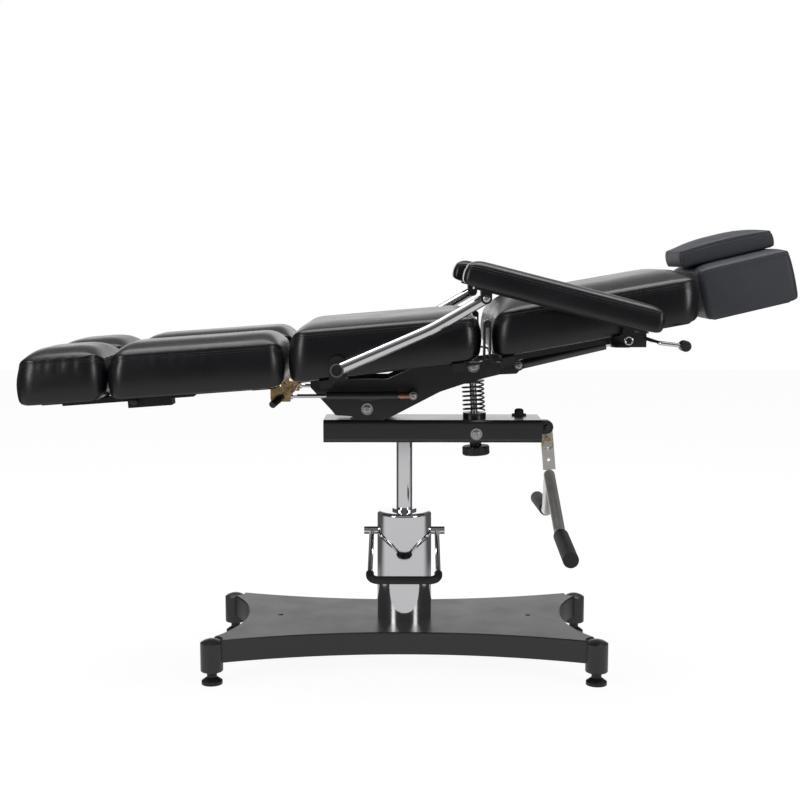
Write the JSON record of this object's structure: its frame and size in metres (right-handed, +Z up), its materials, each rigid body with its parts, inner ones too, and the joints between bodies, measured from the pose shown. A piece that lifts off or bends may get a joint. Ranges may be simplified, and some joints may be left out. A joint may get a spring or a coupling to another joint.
{
  "type": "tattoo chair",
  "caption": "Black hydraulic tattoo chair, laid nearly flat, with split leg rests, padded armrests and a head pillow.",
  "frame": {"origin": "on the floor at the middle of the chair's plan, as it stands laid out", "axes": "+X towards the head end, +Y towards the side without the recline strut, +Z up"},
  "size_m": [1.8948, 0.8112, 1.121],
  "materials": {
    "base_grey": "satin",
    "frame_black": "satin",
    "chrome": "polished",
    "black_cylinder": "gloss",
    "steel": "satin",
    "yellow_zinc": "satin",
    "black_rubber": "matte",
    "black_plastic": "satin",
    "black_board": "satin",
    "black_vinyl": "gloss",
    "grey_vinyl": "matte"
  },
  "bodies": {
    "base": {"base_plate": "base_grey", "corner_columns": "frame_black", "pump_cover": "chrome", "pump_cylinder": "black_cylinder"},
    "piston": {"piston_rod": "chrome"},
    "pedal": {"pedal_arms": "chrome", "pedal_sleeve": "black_rubber"},
    "carrier": {"beam": "frame_black", "beam_fittings": "frame_black", "spring_collar": "frame_black", "beam_bumper": "black_rubber", "tilt_spring": "frame_black"},
    "lower_trunnion": {"lower_trunnion": "steel"},
    "upper_trunnion": {"upper_trunnion": "steel"},
    "screw": {"tilt_screw": "steel", "tilt_handwheel": "black_plastic"},
    "lock_fork": {"lock_fork": "steel", "fork_grips": "black_rubber", "linch_pin": "yellow_zinc"},
    "seat": {"seat_side_plates": "frame_black", "seat_crossmembers": "frame_black", "seat_brackets": "frame_black", "seat_fasteners": "steel", "seat_board": "black_board", "seat_cushion": "black_vinyl"},
    "back": {"back_board": "black_board", "back_cushion": "black_vinyl", "back_frame": "frame_black"},
    "recline_tube": {"recline_tube": "frame_black"},
    "recline_rod": {"recline_rod": "chrome"},
    "release_crank": {"release_crank": "chrome"},
    "headrest": {"headrest_bars": "frame_black", "headrest_cushion": "grey_vinyl", "head_pillow": "grey_vinyl"},
    "arm_tube_left": {"armrest_tube_left": "chrome"},
    "arm_pad_left": {"armrest_plate_left": "frame_black", "armrest_pad_left": "black_vinyl"},
    "leg_left": {"leg_frame_left": "black_board", "leg_cushion_left": "black_vinyl"},
    "foot_left": {"foot_frame_left": "black_board", "foot_cushion_left": "black_vinyl"},
    "clamp_left": {"clamp_knob_left": "black_plastic"},
    "strut_housing_left": {"leg_strut_housing_left": "chrome"},
    "strut_rod_left": {"leg_strut_rod_left": "chrome"},
    "lever_left": {"leg_strut_lever_left": "black_plastic"},
    "arm_tube_right": {"armrest_tube_right": "chrome"},
    "arm_pad_right": {"armrest_plate_right": "frame_black", "armrest_pad_right": "black_vinyl"},
    "leg_right": {"leg_frame_right": "black_board", "leg_cushion_right": "black_vinyl"},
    "foot_right": {"foot_frame_right": "black_board", "foot_cushion_right": "black_vinyl"},
    "clamp_right": {"clamp_knob_right": "black_plastic"},
    "strut_housing_right": {"leg_strut_housing_right": "chrome"},
    "strut_rod_right": {"leg_strut_rod_right": "chrome"},
    "lever_right": {"leg_strut_lever_right": "black_plastic"},
    "foot_screw_foot_left": {"levelling_foot_foot_left": "black_plastic"},
    "foot_screw_foot_right": {"levelling_foot_foot_right": "black_plastic"},
    "foot_screw_head_left": {"levelling_foot_head_left": "black_plastic"},
    "foot_screw_head_right": {"levelling_foot_head_right": "black_plastic"}
  },
  "joints": [
    {"name": "lift", "type": "slide", "parent": "base", "child": "piston", "axis": [0, 0, 1], "range_m": [-0.1, 0.035]},
    {"name": "swivel", "type": "hinge", "parent": "piston", "child": "carrier", "pos_m": [-0.01918, 0, 0.618], "axis": [0, 0, 1], "continuous": true},
    {"name": "pedal", "type": "hinge", "parent": "base", "child": "pedal", "pos_m": [-0.01918, 0, 0.339], "axis": [1, 0, 0], "range_deg": [0, 20], "stiffness_Nm_per_rad": 40, "springref_deg": -10},
    {"name": "lock_fork", "type": "hinge", "parent": "carrier", "child": "lock_fork", "pos_m": [0.34782, 0, 0.612], "axis": [0, -1, 0], "range_deg": [0, 30]},
    {"name": "seat_tilt", "type": "hinge", "parent": "carrier", "child": "seat", "pos_m": [-0.11318, 0, 0.667], "axis": [0, 1, 0], "range_deg": [0, 9], "deforming": ["tilt_spring"]},
    {"name": "lower_trunnion_turn", "type": "hinge", "parent": "carrier", "child": "lower_trunnion", "pos_m": [0.16382, 0, 0.602], "axis": [0, 1, 0], "range_deg": [-0.5, 5.51]},
    {"name": "upper_trunnion_turn", "type": "hinge", "parent": "seat", "child": "upper_trunnion", "pos_m": [0.15482, 0, 0.775], "axis": [0, 1, 0], "range_deg": [-4.49, 0.5]},
    {"name": "handwheel_spin", "type": "hinge", "parent": "upper_trunnion", "child": "screw", "pos_m": [0.15482, 0, 0.775], "axis": [-0.052, 0, 0.9986], "continuous": true},
    {"name": "back_recline", "type": "hinge", "parent": "seat", "child": "back", "pos_m": [0.17682, 0, 0.893], "axis": [0, -1, 0], "range_deg": [0, 65]},
    {"name": "recline_strut_swing", "type": "hinge", "parent": "seat", "child": "recline_tube", "pos_m": [0.26482, -0.112, 0.781], "axis": [0, -1, 0], "range_deg": [-1, 63.3]},
    {"name": "recline_strut_slide", "type": "slide", "parent": "recline_tube", "child": "recline_rod", "axis": [0.9732, 0, 0.2298], "range_m": [-0.001, 0.15319]},
    {"name": "release_crank", "type": "hinge", "parent": "back", "child": "release_crank", "pos_m": [0.58082, -0.146, 0.848], "axis": [0, 1, 0], "range_deg": [0, 20], "stiffness_Nm_per_rad": 3, "springref_deg": -25},
    {"name": "headrest_slide", "type": "slide", "parent": "back", "child": "headrest", "axis": [0.9839, 0, 0.1788], "range_m": [0, 0.08]},
    {"name": "armrest_tube_left", "type": "hinge", "parent": "seat", "child": "arm_tube_left", "pos_m": [-0.17518, -0.332, 0.787], "axis": [0, -1, 0], "range_deg": [-1, 37.25]},
    {"name": "armrest_pad_left", "type": "hinge", "parent": "arm_tube_left", "child": "arm_pad_left", "pos_m": [0.17082, -0.332, 0.954], "axis": [0, -1, 0], "range_deg": [-13.07, 1]},
    {"name": "leg_left", "type": "hinge", "parent": "seat", "child": "leg_left", "pos_m": [-0.29818, -0.16, 0.722], "axis": [0, -1, 0], "range_deg": [0, 55]},
    {"name": "leg_strut_swing_left", "type": "hinge", "parent": "seat", "child": "strut_housing_left", "pos_m": [0.00282, -0.135, 0.707], "axis": [0, -1, 0], "range_deg": [-0.5, 5.52]},
    {"name": "leg_strut_slide_left", "type": "slide", "parent": "strut_housing_left", "child": "strut_rod_left", "axis": [-1, 0, -0.0058], "range_m": [-0.03148, 0.001]},
    {"name": "strut_lever_left", "type": "hinge", "parent": "strut_rod_left", "child": "lever_left", "pos_m": [-0.32218, -0.146, 0.705], "axis": [0, -1, 0], "range_deg": [0, 8], "stiffness_Nm_per_rad": 1.5, "springref_deg": -20},
    {"name": "foot_slide_left", "type": "slide", "parent": "leg_left", "child": "foot_left", "axis": [-0.9973, 0, -0.0732], "range_m": [0, 0.075]},
    {"name": "clamp_knob_left", "type": "hinge", "parent": "leg_left", "child": "clamp_left", "pos_m": [-0.68014, -0.184, 0.70028], "axis": [0, 1, 0], "continuous": true},
    {"name": "armrest_tube_right", "type": "hinge", "parent": "seat", "child": "arm_tube_right", "pos_m": [-0.17518, 0.332, 0.787], "axis": [0, -1, 0], "range_deg": [-1, 37.25]},
    {"name": "armrest_pad_right", "type": "hinge", "parent": "arm_tube_right", "child": "arm_pad_right", "pos_m": [0.17082, 0.332, 0.954], "axis": [0, -1, 0], "range_deg": [-13.07, 1]},
    {"name": "leg_right", "type": "hinge", "parent": "seat", "child": "leg_right", "pos_m": [-0.29818, 0.16, 0.722], "axis": [0, -1, 0], "range_deg": [0, 55]},
    {"name": "leg_strut_swing_right", "type": "hinge", "parent": "seat", "child": "strut_housing_right", "pos_m": [0.00282, 0.135, 0.707], "axis": [0, -1, 0], "range_deg": [-0.5, 5.52]},
    {"name": "leg_strut_slide_right", "type": "slide", "parent": "strut_housing_right", "child": "strut_rod_right", "axis": [-1, 0, -0.0058], "range_m": [-0.03148, 0.001]},
    {"name": "strut_lever_right", "type": "hinge", "parent": "strut_rod_right", "child": "lever_right", "pos_m": [-0.32218, 0.146, 0.705], "axis": [0, -1, 0], "range_deg": [0, 8], "stiffness_Nm_per_rad": 1.5, "springref_deg": -20},
    {"name": "foot_slide_right", "type": "slide", "parent": "leg_right", "child": "foot_right", "axis": [-0.9973, 0, -0.0732], "range_m": [0, 0.075]},
    {"name": "clamp_knob_right", "type": "hinge", "parent": "leg_right", "child": "clamp_right", "pos_m": [-0.68014, 0.184, 0.70028], "axis": [0, 1, 0], "continuous": true},
    {"name": "levelling_foot_left", "type": "slide", "parent": "base", "child": "foot_screw_foot_left", "axis": [0, 0, 1], "range_m": [-0.012, 0]},
    {"name": "levelling_foot_right", "type": "slide", "parent": "base", "child": "foot_screw_foot_right", "axis": [0, 0, 1], "range_m": [-0.012, 0]},
    {"name": "levelling_head_left", "type": "slide", "parent": "base", "child": "foot_screw_head_left", "axis": [0, 0, 1], "range_m": [-0.012, 0]},
    {"name": "levelling_head_right", "type": "slide", "parent": "base", "child": "foot_screw_head_right", "axis": [0, 0, 1], "range_m": [-0.012, 0]}
  ],
  "couplings": [
    {"joint": "lower_trunnion_turn", "follows": "seat_tilt", "ratio": 0.55628},
    {"joint": "upper_trunnion_turn", "follows": "seat_tilt", "ratio": -0.44372},
    {"joint": "recline_strut_swing", "follows": "back_recline", "ratio": 0.95838},
    {"joint": "recline_strut_slide", "follows": "back_recline", "m_per_rad": 0.13415},
    {"joint": "armrest_tube_left", "follows": "back_recline", "ratio": 0.55767},
    {"joint": "armrest_pad_left", "follows": "back_recline", "ratio": -0.18575},
    {"joint": "leg_strut_swing_left", "follows": "leg_left", "ratio": 0.09125},
    {"joint": "leg_strut_slide_left", "follows": "leg_left", "m_per_rad": -0.031751},
    {"joint": "armrest_tube_right", "follows": "back_recline", "ratio": 0.55767},
    {"joint": "armrest_pad_right", "follows": "back_recline", "ratio": -0.18575},
    {"joint": "leg_strut_swing_right", "follows": "leg_right", "ratio": 0.09125},
    {"joint": "leg_strut_slide_right", "follows": "leg_right", "m_per_rad": -0.031751}
  ]
}
